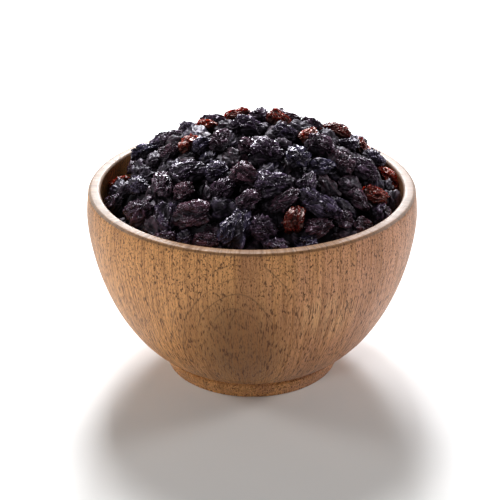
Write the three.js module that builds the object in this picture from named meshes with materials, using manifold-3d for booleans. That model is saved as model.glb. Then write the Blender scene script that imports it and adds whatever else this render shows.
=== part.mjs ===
// A small turned wooden bowl on a foot, filled with dark raisins heaped well above its rim.
// Millimetres, +Z up. The origin is the middle of the foot's underside, and -Y is the front.
import * as THREE from "three";
import { mergeVertices } from "three/addons/utils/BufferGeometryUtils.js";
import Module from "manifold-3d";

const wasm = await Module();
wasm.setup();

// The bowl: its overall size, and the curve of its outer wall.
const BOWL_HEIGHT = 71;
const WIDEST_RADIUS = 60;
const WIDEST_HEIGHT = 61.4;
const WALL_REACH = 61.6;
const WALL_POWER = 1.65;
const WALL_ROOT = 3;
const WALL_AT_RIM = 4.3;
const WALL_AT_FLOOR = 7.5;
const FLOOR_HEIGHT = 13;
const FLOOR_POWER = 5;
const RIM_ROUND = 1.1;

// The foot: a plain ring that flares a little upwards, parted from the wall by a groove.
const FOOT_HEIGHT = 6;
const FOOT_RADIUS = 32;
const FOOT_TOP_RADIUS = 34.2;
const FOOT_ROUND = 0.8;
const GROOVE_HEIGHT = 0.9;
const GROOVE_DEPTH = 1.1;
const RECESS_RADIUS = 24;
const RECESS_DEPTH = 1.6;

const BOWL_SIDES = 64;
const WALL_STEPS = 9;
const OUTER_STEP_POWER = 1.25;
const INNER_STEP_POWER = 1.6;

// The mound: where the middles of its top raisins lie, above the foot's underside.
const MOUND_TOP = 89.5;
const MOUND_FALL = 24;
const MOUND_REACH = 53;
const MOUND_POWER = 2.8;
const MOUND_LEAN_RIGHT = 0.045;
const MOUND_LEAN_BACK = 0.045;
const CORE_BELOW = 2.4;
const CORE_SINK = 1.2;
const CORE_SIDES = 24;
const CORE_RINGS = 7;
const CORE_EDGE_STEP = 2;
const CLEARANCE = 0.3;

// How the heap was seen: from the front, this far off and this high, aimed at the middle of the bowl's height.
const VIEW_ELEVATION = THREE.MathUtils.degToRad(26.43);
const VIEW_DISTANCE = 560;
const VIEW_FOCAL_PIXELS = 1501.7;
const VIEW_AIM_PIXEL = [252.06, 271.24];
const SIGHT_RANGE = [VIEW_DISTANCE - 75, VIEW_DISTANCE + 60];
const SIGHT_STEP = 0.25;

// The raisins that show from the front, each by the pixel of its middle in that view.
// Pixel across, pixel down, length, width (mm), turn from level (degrees).
const DARK_SEEN = [
  [148, 152, 12.5, 7.5, 33],
  [177, 134, 9.5, 6.5, 20],
  [191, 128, 8.5, 6, 10],
  [169, 151, 8.5, 6.5, -20],
  [221, 119, 10.5, 6.5, -12],
  [205, 143, 8, 6, 65],
  [219, 141, 9.5, 6.5, 78],
  [247, 127, 12.5, 8, 15],
  [291, 117, 8.5, 6, -60],
  [308, 118, 9, 6, -15],
  [287, 132, 10, 6.5, 10],
  [248, 146, 8, 6.5, 0],
  [267, 152, 11.5, 8.5, -20],
  [298, 157, 9, 8, 60],
  [325, 149, 13, 8, 20],
  [349, 143, 8.5, 5.5, 80],
  [343, 163, 9.5, 8, 30],
  [363, 168, 12.5, 7.5, -50],
  [373, 159, 9.5, 7, -40],
  [359, 199, 10.5, 6, -15],
  [381, 211, 12, 6.5, 33],
  [363, 224, 7.5, 5.5, 10],
  [342, 217, 8, 6, 15],
  [322, 205, 14.5, 9, -35],
  [319, 227, 10.5, 6.5, 10],
  [264, 229, 10.5, 8, -35],
  [237, 227, 15.5, 9.5, 75],
  [247, 202, 9.5, 6.5, 35],
  [271, 184, 12, 9, 20],
  [243, 179, 10.5, 8, -15],
  [226, 185, 9, 6.5, 45],
  [217, 171, 8.5, 7, -40],
  [284, 200, 11.5, 6.5, 30],
  [306, 182, 8.5, 6.5, 60],
  [321, 168, 10, 6, 0],
  [141, 213, 12, 9, 10],
  [167, 216, 12, 7.5, -75],
  [195, 215, 14.5, 9, -5],
  [114, 203, 9.5, 7, -10],
  [139, 186, 10.5, 7.5, -35],
  [166, 184, 12, 7.5, -50],
  [186, 173, 13, 9.5, 60],
  [184, 191, 8, 6.5, -20],
  [166, 238, 9, 6, 0],
  [186, 240, 8, 6, 0],
  [205, 242, 10, 6, -5],
  [275, 246, 10, 6, 10],
  [306, 243, 8, 6, 20],
];
const RED_SEEN = [
  [189, 142, 8.5, 6.5, 60],
  [229, 111, 11, 6.5, 22],
  [204, 122, 8.5, 6, 60],
  [277, 118, 9.5, 6.5, -25],
  [333, 127, 11.5, 7.5, -30],
  [311, 134, 8.5, 6, 70],
  [360, 143, 7.5, 6, 0],
  [392, 178, 12.5, 7.5, 80],
  [376, 197, 10.5, 7, 10],
  [295, 218, 12, 8, 60],
  [114, 184, 9, 6.5, 15],
];

// The raisins that the rule adds: tried along a spiral over the mound, and laid wherever there is room.
// The first layer is level with the ones above and covers what the front view doesn't show.
// The next lies deeper, in the gaps.
const SPIRAL_TRIES = 460;
const SPIRAL_RADIUS = 50.5;
const SPIRAL_TURN = 2.399963;
const LAYERS = [
  { depth: 0, share: 0.86 },
  { depth: 3.4, share: 0.8 },
];
const SHOWN_FACING = 0.12;
const LIFT_SPREAD = 2.2;
const TILT_SPREAD = 0.9;
const LENGTH_RANGE = [8.5, 12.5];
const WIDTH_SHARE = [0.62, 0.78];
const THICKNESS_SHARE = [0.78, 0.94];

// Raisins that lie in each other are moved apart in a few rounds, and each keeps near its own place.
const REST_ROUNDS = 40;
const REST_SHARE = 0.98;
const REST_STEP = 0.25;
const HOLD_SHARE = 0.06;
const NEIGHBOUR_RANGE = 16.25;

const RAISIN_SIDES = 6;
const RAISIN_RINGS = 4;
const RAISIN_BLUNT = 0.8;
const RIDGE_RANGE = [0.045, 0.135];
const FOLD_RANGE = [-0.105, -0.18];
const TAPER_SPREAD = 0.35;
const BEND_SPREAD = 0.25;
const SEAT_MARGIN = 0.42;

// A plain generator of numbers from 0 to 1, so that every run lays the same heap.
const SEED = 77;
const SEED_STEP = 37;
const DRAW_FACTOR = 16807;
const DRAW_MODULUS = 2147483647;

const WOOD = new THREE.MeshStandardMaterial({ color: 0xb98a5e, roughness: 0.6, metalness: 0 });
const DARK_SKIN = new THREE.MeshStandardMaterial({ color: 0x1b1218, roughness: 0.42, metalness: 0 });
const RED_SKIN = new THREE.MeshStandardMaterial({ color: 0x4a1712, roughness: 0.38, metalness: 0 });

function makeDraw(seed) {
  let state = seed;
  return () => {
    state = (state * DRAW_FACTOR) % DRAW_MODULUS;
    return state / DRAW_MODULUS;
  };
}

// Radius of the bowl's outer wall at a height.
function outerRadius(height) {
  const share = Math.abs((height - WIDEST_HEIGHT) / WALL_REACH);
  return WIDEST_RADIUS * Math.pow(1 - Math.pow(share, WALL_POWER), 1 / WALL_ROOT);
}

// Radius of the bowl's inner wall at a height. The wall thickens towards the floor.
function innerRadius(height) {
  const share = (height - FLOOR_HEIGHT) / (BOWL_HEIGHT - FLOOR_HEIGHT);
  const rise = Math.min(Math.max(share, 0), 1);
  const wall = WALL_AT_FLOOR + (WALL_AT_RIM - WALL_AT_FLOOR) * rise;
  const round = Math.sqrt(1 - Math.pow(1 - rise, FLOOR_POWER));
  return (outerRadius(Math.max(height, FLOOR_HEIGHT)) - wall) * round;
}

// Points of the inner wall from the rim down to the floor, set in from the wall by a gap.
function innerProfile(gap, top) {
  const points = [];
  for (let i = 0; i < WALL_STEPS; i++) {
    const share = i / WALL_STEPS;
    const height = FLOOR_HEIGHT + (top - FLOOR_HEIGHT) * Math.pow(1 - share, INNER_STEP_POWER);
    points.push(new THREE.Vector2(innerRadius(height) - gap, height + gap * share));
  }
  points.push(new THREE.Vector2(0, FLOOR_HEIGHT + gap));
  return points;
}

// A quarter round between two directions, as points.
function corner(centreRadius, centreHeight, radius, from, to, steps) {
  const points = [];
  for (let i = 0; i <= steps; i++) {
    const angle = THREE.MathUtils.degToRad(from + ((to - from) * i) / steps);
    points.push(
      new THREE.Vector2(centreRadius + radius * Math.cos(angle), centreHeight + radius * Math.sin(angle)),
    );
  }
  return points;
}

function bowlGeometry() {
  const rimInner = innerRadius(BOWL_HEIGHT);
  const rimOuter = outerRadius(BOWL_HEIGHT);
  const wallFoot = FOOT_HEIGHT + GROOVE_HEIGHT;
  const outline = [new THREE.Vector2(0, RECESS_DEPTH), new THREE.Vector2(RECESS_RADIUS, RECESS_DEPTH)];
  outline.push(new THREE.Vector2(RECESS_RADIUS + RECESS_DEPTH, 0));
  outline.push(...corner(FOOT_RADIUS - FOOT_ROUND, FOOT_ROUND, FOOT_ROUND, -90, 0, 2));
  outline.push(new THREE.Vector2(FOOT_TOP_RADIUS, FOOT_HEIGHT));
  outline.push(new THREE.Vector2(FOOT_TOP_RADIUS - GROOVE_DEPTH, FOOT_HEIGHT + GROOVE_HEIGHT / 2));
  for (let i = 0; i < WALL_STEPS; i++) {
    const share = Math.pow(i / (WALL_STEPS - 1), OUTER_STEP_POWER);
    const height = wallFoot + (BOWL_HEIGHT - RIM_ROUND - wallFoot) * share;
    outline.push(new THREE.Vector2(outerRadius(height), height));
  }
  outline.push(...corner(rimOuter - RIM_ROUND, BOWL_HEIGHT - RIM_ROUND, RIM_ROUND, 45, 90, 1));
  outline.push(...corner(rimInner + RIM_ROUND, BOWL_HEIGHT - RIM_ROUND, RIM_ROUND, 90, 180, 2));
  outline.push(...innerProfile(0, BOWL_HEIGHT - RIM_ROUND).slice(1));
  return new THREE.LatheGeometry(outline, BOWL_SIDES);
}

// Height of the mound's top raisins over a place in plan.
function moundHeight(x, y) {
  const share = Math.hypot(x, y) / MOUND_REACH;
  return MOUND_TOP - MOUND_FALL * Math.pow(share, MOUND_POWER) + MOUND_LEAN_RIGHT * x + MOUND_LEAN_BACK * y;
}

function moundNormal(x, y) {
  const step = 0.5;
  const slopeX = (moundHeight(x + step, y) - moundHeight(x - step, y)) / (2 * step);
  const slopeY = (moundHeight(x, y + step) - moundHeight(x, y - step)) / (2 * step);
  return new THREE.Vector3(-slopeX, -slopeY, 1).normalize();
}

const VIEW_BACK = new THREE.Vector3(0, -Math.cos(VIEW_ELEVATION), Math.sin(VIEW_ELEVATION));
const VIEW_UP = new THREE.Vector3(0, Math.sin(VIEW_ELEVATION), Math.cos(VIEW_ELEVATION));
const VIEW_RIGHT = new THREE.Vector3(1, 0, 0);

// Where the line of sight through a pixel first meets the mound, or where it passes nearest to it.
function placeOnMound(pixelX, pixelY) {
  const eye = new THREE.Vector3(0, 0, BOWL_HEIGHT / 2).addScaledVector(VIEW_BACK, VIEW_DISTANCE);
  const sight = VIEW_BACK.clone().multiplyScalar(-1);
  sight.addScaledVector(VIEW_RIGHT, (pixelX - VIEW_AIM_PIXEL[0]) / VIEW_FOCAL_PIXELS);
  sight.addScaledVector(VIEW_UP, (VIEW_AIM_PIXEL[1] - pixelY) / VIEW_FOCAL_PIXELS);
  sight.normalize();
  const above = (t) => {
    const p = eye.clone().addScaledVector(sight, t);
    return p.z - moundHeight(p.x, p.y);
  };
  let nearest = SIGHT_RANGE[0];
  for (let t = SIGHT_RANGE[0]; t < SIGHT_RANGE[1]; t += SIGHT_STEP) {
    if (above(t) < above(nearest)) nearest = t;
    if (above(t) < 0) break;
  }
  return eye.addScaledVector(sight, nearest);
}

// The three axes of a raisin: along its length, across it in the mound's face, and out of the face.
function axesFrom(along, normal, tilt) {
  const flat = along.clone().addScaledVector(normal, -along.dot(normal)).normalize();
  const side = new THREE.Vector3().crossVectors(normal, flat);
  const length = flat.multiplyScalar(Math.cos(tilt)).addScaledVector(normal, Math.sin(tilt));
  return [length, side, new THREE.Vector3().crossVectors(length, side)];
}

function drawIn([least, most], draw) {
  return least + (most - least) * draw();
}

function seenRaisin([pixelX, pixelY, long, wide, turn], red, draw) {
  const place = placeOnMound(pixelX, pixelY);
  const angle = THREE.MathUtils.degToRad(turn);
  const along = VIEW_RIGHT.clone().multiplyScalar(Math.cos(angle)).addScaledVector(VIEW_UP, Math.sin(angle));
  const tilt = (draw() - 0.5) * TILT_SPREAD;
  const thick = wide * drawIn(THICKNESS_SHARE, draw);
  const axes = axesFrom(along, moundNormal(place.x, place.y), tilt);
  return { place, half: [long / 2, wide / 2, thick / 2], axes, red };
}

function spiralRaisin(index, depth, draw) {
  const radius = SPIRAL_RADIUS * Math.sqrt((index + 0.5) / SPIRAL_TRIES);
  const [x, y] = [radius * Math.cos(index * SPIRAL_TURN), radius * Math.sin(index * SPIRAL_TURN)];
  const lift = (draw() - 0.5) * LIFT_SPREAD - depth;
  const heading = draw() * Math.PI * 2;
  const tilt = (draw() - 0.5) * TILT_SPREAD;
  const long = drawIn(LENGTH_RANGE, draw);
  const wide = long * drawIn(WIDTH_SHARE, draw);
  const thick = wide * drawIn(THICKNESS_SHARE, draw);
  const place = new THREE.Vector3(x, y, moundHeight(x, y) + lift);
  const along = new THREE.Vector3(Math.cos(heading), Math.sin(heading), 0);
  const axes = axesFrom(along, moundNormal(x, y), tilt);
  return { place, half: [long / 2, wide / 2, thick / 2], axes, red: false };
}

// Half the width of a raisin, measured along a direction.
function reach(raisin, direction) {
  return Math.hypot(...raisin.axes.map((axis, i) => raisin.half[i] * axis.dot(direction)));
}

// How much nearer two raisins lie than a share of their two reaches, and the direction between them.
function crowding(first, second, share) {
  const between = new THREE.Vector3().subVectors(second.place, first.place);
  const apart = between.length();
  if (apart > NEIGHBOUR_RANGE) return { lack: 0, between };
  between.divideScalar(apart);
  return { lack: share * (reach(first, between) + reach(second, between)) - apart, between };
}

// The greatest height at which a raisin is still sunk a little into the core.
function highestSeat(raisin) {
  const { x, y } = raisin.place;
  const normal = moundNormal(x, y);
  return moundHeight(x, y) - CORE_BELOW + (reach(raisin, normal) - CORE_SINK) / normal.z;
}

function letRest(raisins) {
  const seats = raisins.map((raisin) => raisin.place.clone());
  for (let round = 0; round < REST_ROUNDS; round++) {
    for (let i = 0; i < raisins.length; i++) {
      for (let j = i + 1; j < raisins.length; j++) {
        const { lack, between } = crowding(raisins[i], raisins[j], REST_SHARE);
        if (lack <= 0) continue;
        raisins[i].place.addScaledVector(between, -lack * REST_STEP);
        raisins[j].place.addScaledVector(between, lack * REST_STEP);
      }
    }
    raisins.forEach((raisin, i) => {
      raisin.place.lerp(seats[i], HOLD_SHARE);
      const radius = Math.hypot(raisin.place.x, raisin.place.y);
      const outward = new THREE.Vector3(raisin.place.x / radius, raisin.place.y / radius, 0);
      const room = innerRadius(Math.min(raisin.place.z, BOWL_HEIGHT)) - CLEARANCE;
      const over = radius + reach(raisin, outward) - room;
      if (over > 0) raisin.place.addScaledVector(outward, -over);
      raisin.place.z = Math.min(raisin.place.z, highestSeat(raisin));
    });
  }
}

// Whether the mound faces the front view enough to show at a place.
function showsInFront(place) {
  return moundNormal(place.x, place.y).dot(VIEW_BACK) > SHOWN_FACING;
}

function layRaisins() {
  const draw = makeDraw(SEED);
  const raisins = [
    ...DARK_SEEN.map((row) => seenRaisin(row, false, draw)),
    ...RED_SEEN.map((row) => seenRaisin(row, true, draw)),
  ];
  for (const { depth, share } of LAYERS) {
    for (let index = 0; index < SPIRAL_TRIES; index++) {
      const tried = spiralRaisin(index, depth, draw);
      if (depth === 0 && showsInFront(tried.place)) continue;
      if (raisins.every((other) => crowding(tried, other, share).lack <= 0)) raisins.push(tried);
    }
  }
  letRest(raisins);
  return raisins;
}

// One raisin, grown by a margin: a blunt oval drawn in along its length by deep folds.
function raisinGeometry(raisin, index, margin) {
  const draw = makeDraw(SEED + SEED_STEP * (index + 1));
  const [halfLong, halfWide, halfThick] = raisin.half.map((half) => half + margin);
  const taper = (draw() - 0.5) * TAPER_SPREAD;
  const bend = (draw() - 0.5) * BEND_SPREAD;
  const positions = [halfLong, bend * halfWide, 0];
  for (let ring = 1; ring < RAISIN_RINGS; ring++) {
    const angle = (Math.PI * ring) / RAISIN_RINGS;
    const along = Math.cos(angle);
    const girth = Math.pow(Math.sin(angle), RAISIN_BLUNT) * (1 + taper * along);
    for (let side = 0; side < RAISIN_SIDES; side++) {
      const round = ((side + 0.5 * (ring % 2)) * 2 * Math.PI) / RAISIN_SIDES;
      const fold = 1 + drawIn(side % 2 ? FOLD_RANGE : RIDGE_RANGE, draw);
      positions.push(halfLong * along);
      positions.push(halfWide * (girth * fold * Math.cos(round) + bend * (2 * along * along - 1)));
      positions.push(halfThick * girth * fold * Math.sin(round));
    }
  }
  positions.push(-halfLong, bend * halfWide, 0);
  const last = positions.length / 3 - 1;
  const at = (ring, side) => 1 + (ring - 1) * RAISIN_SIDES + (side % RAISIN_SIDES);
  const faces = [];
  for (let side = 0; side < RAISIN_SIDES; side++) {
    faces.push(0, at(1, side), at(1, side + 1));
    faces.push(last, at(RAISIN_RINGS - 1, side + 1), at(RAISIN_RINGS - 1, side));
    for (let ring = 1; ring < RAISIN_RINGS - 1; ring++) {
      const [a, b] = [at(ring, side), at(ring, side + 1)];
      const [c, d] = [at(ring + 1, side), at(ring + 1, side + 1)];
      if (ring % 2) faces.push(a, c, b, b, c, d);
      else faces.push(a, c, d, a, d, b);
    }
  }
  const geometry = new THREE.BufferGeometry();
  geometry.setAttribute("position", new THREE.Float32BufferAttribute(positions, 3));
  geometry.setIndex(faces);
  const turn = new THREE.Matrix4().makeBasis(...raisin.axes).setPosition(raisin.place);
  return geometry.applyMatrix4(turn);
}

// The hidden middle of the heap: it fills the bowl up to just below the top raisins.
function coreGeometry() {
  const under = innerProfile(CLEARANCE, BOWL_HEIGHT);
  const edge = under[CORE_EDGE_STEP];
  const rings = [];
  for (let i = CORE_RINGS; i > 0; i--) {
    const radius = (edge.x * i) / CORE_RINGS;
    rings.push({ radius, height: (x, y) => moundHeight(x, y) - CORE_BELOW });
  }
  rings.reverse();
  for (const point of under.slice(CORE_EDGE_STEP, -1)) rings.push({ radius: point.x, height: () => point.y });
  const positions = [0, 0, moundHeight(0, 0) - CORE_BELOW];
  for (const ring of rings) {
    for (let side = 0; side < CORE_SIDES; side++) {
      const angle = (2 * Math.PI * side) / CORE_SIDES;
      const [x, y] = [ring.radius * Math.cos(angle), ring.radius * Math.sin(angle)];
      const top = moundHeight(x, y) - CORE_BELOW;
      positions.push(x, y, Math.min(ring.height(x, y), top));
    }
  }
  positions.push(0, 0, FLOOR_HEIGHT + CLEARANCE);
  const last = positions.length / 3 - 1;
  const at = (ring, side) => 1 + ring * CORE_SIDES + (side % CORE_SIDES);
  const faces = [];
  for (let side = 0; side < CORE_SIDES; side++) {
    faces.push(0, at(0, side), at(0, side + 1));
    faces.push(last, at(rings.length - 1, side + 1), at(rings.length - 1, side));
    for (let ring = 0; ring < rings.length - 1; ring++) {
      faces.push(at(ring, side), at(ring + 1, side), at(ring, side + 1));
      faces.push(at(ring, side + 1), at(ring + 1, side), at(ring + 1, side + 1));
    }
  }
  const geometry = new THREE.BufferGeometry();
  geometry.setAttribute("position", new THREE.Float32BufferAttribute(positions, 3));
  return geometry.setIndex(faces);
}

// The room inside the bowl, carried straight up past the rim, that every raisin stays in.
function roomGeometry() {
  const top = MOUND_TOP + MOUND_FALL;
  const outline = [new THREE.Vector2(0, top), new THREE.Vector2(innerRadius(BOWL_HEIGHT) - CLEARANCE, top)];
  outline.push(...innerProfile(CLEARANCE, BOWL_HEIGHT));
  return new THREE.LatheGeometry(outline.reverse(), BOWL_SIDES);
}

// A closed mesh as a solid that can be joined and cut.
function toSolid(geometry) {
  const bare = geometry.clone();
  bare.deleteAttribute("normal");
  bare.deleteAttribute("uv");
  const merged = mergeVertices(bare, 1e-4);
  return new wasm.Manifold(
    new wasm.Mesh({
      numProp: 3,
      vertProperties: merged.attributes.position.array,
      triVerts: new Uint32Array(merged.index.array),
    }),
  );
}

// The largest body of a solid: this drops loose scraps and fills sealed hollows.
function largestBody(solid) {
  return solid.decompose().reduce((best, body) => (body.volume() > best.volume() ? body : best));
}

function toGeometry(solid) {
  const mesh = solid.getMesh();
  const geometry = new THREE.BufferGeometry();
  geometry.setAttribute("position", new THREE.BufferAttribute(mesh.vertProperties, 3));
  geometry.setIndex(new THREE.BufferAttribute(mesh.triVerts, 1));
  geometry.computeVertexNormals();
  return geometry;
}

const part = new THREE.Group();

function add(name, geometry, material) {
  const mesh = new THREE.Mesh(geometry, material);
  mesh.name = name;
  part.add(mesh);
}

// A lathe turns its outline about Y, so the bowl is stood up along Z.
const bowl = bowlGeometry().rotateX(Math.PI / 2);
add("bowl", bowl, WOOD);

const raisins = layRaisins();
const room = toSolid(roomGeometry().rotateX(Math.PI / 2));

// Dark raisins hold together as one heap. Each red one is a piece of its own, in a seat in the heap.
let heap = toSolid(coreGeometry());
raisins.forEach((raisin, index) => {
  if (!raisin.red) heap = heap.add(toSolid(raisinGeometry(raisin, index, 0)));
});
const reds = [];
raisins.forEach((raisin, index) => {
  if (!raisin.red) return;
  let body = toSolid(raisinGeometry(raisin, index, 0)).intersect(room);
  for (const other of reds) body = body.subtract(other.seat);
  const seat = toSolid(raisinGeometry(raisin, index, SEAT_MARGIN));
  heap = heap.subtract(seat);
  const name = `raisin_red_${String(reds.length + 1).padStart(2, "0")}`;
  reds.push({ name, body: largestBody(body), seat });
});
add("raisin_heap", toGeometry(largestBody(heap.intersect(room))), DARK_SKIN);
for (const red of reds) add(red.name, toGeometry(red.body), RED_SKIN);

export default part;
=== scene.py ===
import math

import bmesh
import bpy
import numpy as np
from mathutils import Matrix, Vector


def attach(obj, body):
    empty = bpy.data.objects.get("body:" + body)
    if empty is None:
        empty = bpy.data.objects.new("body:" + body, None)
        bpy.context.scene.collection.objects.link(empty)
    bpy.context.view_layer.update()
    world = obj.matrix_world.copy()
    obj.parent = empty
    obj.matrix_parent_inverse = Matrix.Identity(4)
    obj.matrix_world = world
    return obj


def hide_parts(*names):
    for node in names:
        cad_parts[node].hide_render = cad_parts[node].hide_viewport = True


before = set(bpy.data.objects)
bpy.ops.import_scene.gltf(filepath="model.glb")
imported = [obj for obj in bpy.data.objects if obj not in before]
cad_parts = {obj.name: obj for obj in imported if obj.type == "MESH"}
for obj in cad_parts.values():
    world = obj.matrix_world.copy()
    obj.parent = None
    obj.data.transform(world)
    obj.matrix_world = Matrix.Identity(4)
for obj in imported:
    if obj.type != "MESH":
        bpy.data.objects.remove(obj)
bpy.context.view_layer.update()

MM = 0.001

# The bowl: its overall size, and the curve of its outer wall.
BOWL_HEIGHT = 71
WIDEST_RADIUS = 60
WIDEST_HEIGHT = 61.4
WALL_REACH = 61.6
WALL_POWER = 1.65
WALL_ROOT = 3
WALL_AT_RIM = 4.3
WALL_AT_FLOOR = 7.5
FLOOR_HEIGHT = 13
FLOOR_POWER = 5
FLOOR_EDGE_RISE = 0.1
RIM_ROUND = 1.1
RIM_TURN = 15

# The foot: a plain ring that flares a little upwards, parted from the wall by a groove.
FOOT_HEIGHT = 6
FOOT_RADIUS = 32
FOOT_TOP_RADIUS = 34.2
FOOT_ROUND = 0.8
GROOVE_HEIGHT = 0.9
GROOVE_DEPTH = 1.1
RECESS_RADIUS = 24
RECESS_DEPTH = 1.6
BOWL_SIDES = 256
WALL_STEPS = 48
CORNER_STEPS = 6

# The mound: where the middles of its top raisins lie, above the foot's underside.
MOUND_TOP = 89.5
MOUND_FALL = 24
MOUND_REACH = 53
MOUND_POWER = 2.8
MOUND_LEAN_RIGHT = 0.045
MOUND_LEAN_BACK = 0.045
CORE_BELOW = 2.4
CORE_SINK = 1.2
CLEARANCE = 0.3

# How the heap was seen: from the front, this far off and this high, aimed at the middle of the bowl's height.
VIEW_ELEVATION = math.radians(26.43)
VIEW_DISTANCE = 560
VIEW_FOCAL_PIXELS = 1501.7
VIEW_AIM_PIXEL = (252.06, 271.24)
VIEW_PIXELS = 500
SIGHT_RANGE = (VIEW_DISTANCE - 75, VIEW_DISTANCE + 60)
SIGHT_STEP = 0.25

# The raisins that show from the front, each by the pixel of its middle in that view.
# Pixel across, pixel down, length, width (mm), turn from level (degrees).
DARK_SEEN = (
    (148, 152, 12.5, 7.5, 33),
    (177, 134, 9.5, 6.5, 20),
    (191, 128, 8.5, 6, 10),
    (169, 151, 8.5, 6.5, -20),
    (221, 119, 10.5, 6.5, -12),
    (205, 143, 8, 6, 65),
    (219, 141, 9.5, 6.5, 78),
    (247, 127, 12.5, 8, 15),
    (291, 117, 8.5, 6, -60),
    (308, 118, 9, 6, -15),
    (287, 132, 10, 6.5, 10),
    (248, 146, 8, 6.5, 0),
    (267, 152, 11.5, 8.5, -20),
    (298, 157, 9, 8, 60),
    (325, 149, 13, 8, 20),
    (349, 143, 8.5, 5.5, 80),
    (343, 163, 9.5, 8, 30),
    (363, 168, 12.5, 7.5, -50),
    (373, 159, 9.5, 7, -40),
    (359, 199, 10.5, 6, -15),
    (381, 211, 12, 6.5, 33),
    (363, 224, 7.5, 5.5, 10),
    (342, 217, 8, 6, 15),
    (322, 205, 14.5, 9, -35),
    (319, 227, 10.5, 6.5, 10),
    (264, 229, 10.5, 8, -35),
    (237, 227, 15.5, 9.5, 75),
    (247, 202, 9.5, 6.5, 35),
    (271, 184, 12, 9, 20),
    (243, 179, 10.5, 8, -15),
    (226, 185, 9, 6.5, 45),
    (217, 171, 8.5, 7, -40),
    (284, 200, 11.5, 6.5, 30),
    (306, 182, 8.5, 6.5, 60),
    (321, 168, 10, 6, 0),
    (141, 213, 12, 9, 10),
    (167, 216, 12, 7.5, -75),
    (195, 215, 14.5, 9, -5),
    (114, 203, 9.5, 7, -10),
    (139, 186, 10.5, 7.5, -35),
    (166, 184, 12, 7.5, -50),
    (186, 173, 13, 9.5, 60),
    (184, 191, 8, 6.5, -20),
    (166, 238, 9, 6, 0),
    (186, 240, 8, 6, 0),
    (205, 242, 10, 6, -5),
    (275, 246, 10, 6, 10),
    (306, 243, 8, 6, 20),
)
RED_SEEN = (
    (189, 142, 8.5, 6.5, 60),
    (229, 111, 11, 6.5, 22),
    (204, 122, 8.5, 6, 60),
    (277, 118, 9.5, 6.5, -25),
    (333, 127, 11.5, 7.5, -30),
    (311, 134, 8.5, 6, 70),
    (360, 143, 7.5, 6, 0),
    (392, 178, 12.5, 7.5, 80),
    (376, 197, 10.5, 7, 10),
    (295, 218, 12, 8, 60),
    (114, 184, 9, 6.5, 15),
)

# The raisins that the rule adds: tried along a spiral over the mound, and laid wherever there is room.
# The first layer is level with the ones above and covers what the front view doesn't show.
# The next two lie deeper, in the gaps.
SPIRAL_TRIES = 460
SPIRAL_RADIUS = 50.5
SPIRAL_TURN = 2.399963
LAYERS = ((0, 0.86), (3.4, 0.8))
UNDER_LAYER = (6.4, 0.8)
SHOWN_FACING = 0.12
LIFT_SPREAD = 2.2
TILT_SPREAD = 0.9
LENGTH_RANGE = (8.5, 12.5)
WIDTH_SHARE = (0.62, 0.78)
THICKNESS_SHARE = (0.78, 0.94)

# Raisins that lie in each other are moved apart in a few rounds, and each keeps near its own place.
REST_ROUNDS = 40
REST_SHARE = 0.98
REST_STEP = 0.25
HOLD_SHARE = 0.06
NEIGHBOUR_RANGE = 16.25
NEIGHBOUR_MARGIN = 3

RAISIN_BLUNT = 0.8
TAPER_SPREAD = 0.35
BEND_SPREAD = 0.25

# A plain generator of numbers from 0 to 1, so that every run lays the same heap.
SEED = 77
SEED_STEP = 37
DRAW_FACTOR = 16807
DRAW_MODULUS = 2147483647

# How many steps each edge of a raisin's sphere is cut into, by how well the raisin shows.
SKIN_STEPS = {"seen": 20, "red": 20, "back": 14, "deep": 11, "under": 11}
SPHERE_DIGITS = 5

# The skin's form: slow lumps, lobes parted by deep folds, and dents between ridges in two sizes.
# A lump, or a wave that bends the folds and dents, has a pace and a share.
SWELL = 1.13
LUMP_DEPTH = 0.12
LUMPS = ((2.1, 1), (3.7, 0.6))
FOLD = {"cells": 8, "stretch": 0.45, "width": 0.12, "depth": 0.22}
DENT = {"cells": 22, "stretch": 0.7, "width": 0.22, "depth": 0.22}
DIMPLE = {"cells": 90, "stretch": 0.65, "width": 0.14, "depth": 0.17}
WARP = 0.24
WARP_WAVES = ((2.3, 1), (5.1, 0.5))
CREST_POWER = 5
TINY = 1e-9

# How much of a raisin's length its dents leave alone, how the pattern of its skin is stretched,
# and how far off (mm) that pattern may start.
STEADY_LENGTH = 0.3
PATTERN_STRETCH = (0.55, 1, 1)
PATTERN_SCATTER = 50

# Painted shade: each raisin is painted black and dull where it lies on the others, and painted as lit from
# this far up its sides.
# The deeper it lies in the heap, the more of it is painted in shade.
PAINTED_LIT_FROM = -0.55
PAINTED_LIT_RANGE = 1.0
PAINTED_LIT_SHARE = {"seen": 1, "red": 1, "back": 1, "deep": 0.45, "under": 0.2}

# Each raisin's tone is this much further round from 0 to 1 than the one before, which spreads them evenly.
GOLDEN_SHARE = 0.618034

# The heap's hidden middle: its top lies under the deepest raisins, and its side follows the bowl's wall.
FILL_DROP = 1.5
FILL_GAP = 1
FILL_EDGE_HEIGHT = 50
FILL_FLOOR_HEIGHT = FLOOR_HEIGHT + 2
FILL_TOP_RINGS = 24
FILL_SIDE_RINGS = 16
FILL_SIDES = 96

# The places of the top raisins' pieces: one in the middle, and the rest in sectors round it.
MIDDLE_RADIUS = 20
SECTORS = ("right", "back", "left", "front")


def make_draw(seed):
    state = seed

    def draw():
        nonlocal state
        state = (state * DRAW_FACTOR) % DRAW_MODULUS
        return state / DRAW_MODULUS

    return draw


def draw_in(ends, draw):
    return ends[0] + (ends[1] - ends[0]) * draw()


def outer_radius(height):
    """Radius of the bowl's outer wall at a height."""
    share = np.abs((height - WIDEST_HEIGHT) / WALL_REACH)
    return WIDEST_RADIUS * (1 - share**WALL_POWER) ** (1 / WALL_ROOT)


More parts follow.
